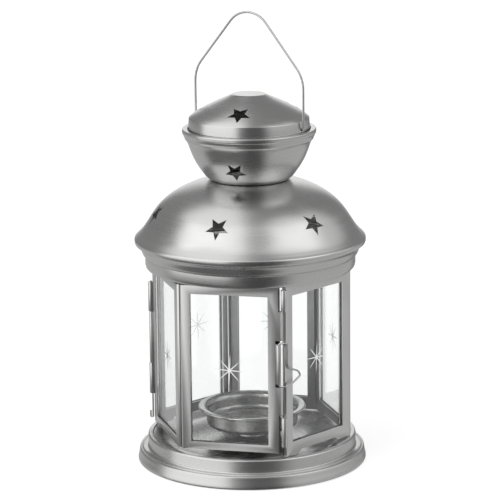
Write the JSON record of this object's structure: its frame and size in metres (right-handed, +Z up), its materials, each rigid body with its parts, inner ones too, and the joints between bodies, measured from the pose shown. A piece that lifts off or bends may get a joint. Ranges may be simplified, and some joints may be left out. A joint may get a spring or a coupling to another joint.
{
  "type": "tealight lantern",
  "caption": "Six-sided glazed sheet metal tealight lantern with a spun base and pierced bell roof, a hinged two-sided door, a wire clasp and a wire hanging loop.",
  "frame": {"origin": "centre of the foot ring, on the surface it stands on", "axes": "+Z up along the lantern's axis; -Y towards the front, +X to the right seen from the front"},
  "size_m": [0.1364, 0.1364, 0.2684],
  "materials": {
    "brushed_sheet": "satin, finely brushed",
    "bright_wire": "drawn bright wire",
    "pin_wire": "drawn wire",
    "clear_glass": "clear, an etched star in the middle of each pane"
  },
  "bodies": {
    "lantern": {"base_dish": "brushed_sheet", "tealight_cup": "brushed_sheet", "cup_rivet": "pin_wire", "frame_right": "brushed_sheet", "frame_back_right": "brushed_sheet", "frame_back": "brushed_sheet", "frame_back_left": "brushed_sheet", "pane_right": "clear_glass", "pane_back_right": "clear_glass", "pane_back": "clear_glass", "pane_back_left": "clear_glass", "hinge_pin": "pin_wire", "collar": "brushed_sheet", "dome": "brushed_sheet", "finial_bowl": "brushed_sheet", "finial_cap": "brushed_sheet"},
    "door": {"door_frame_left": "brushed_sheet", "door_frame_right": "brushed_sheet", "door_pane_left": "clear_glass", "door_pane_right": "clear_glass"},
    "clasp": {"clasp_wire": "bright_wire"},
    "bail": {"bail_handle": "bright_wire"}
  },
  "joints": [
    {"name": "door_hinge", "type": "hinge", "parent": "lantern", "child": "door", "pos_m": [-0.05961, 0.01431, 0.07], "axis": [0, 0, -1], "range_deg": [0, 115]},
    {"name": "clasp_swing", "type": "hinge", "parent": "door", "child": "clasp", "pos_m": [0.01581, -0.05786, 0.072], "axis": [0, 0, -1], "range_deg": [0, 150]},
    {"name": "bail_swing", "type": "hinge", "parent": "lantern", "child": "bail", "pos_m": [0, 0, 0.2018], "axis": [0.848, -0.5299, 0], "range_deg": [-90, 90]}
  ]
}
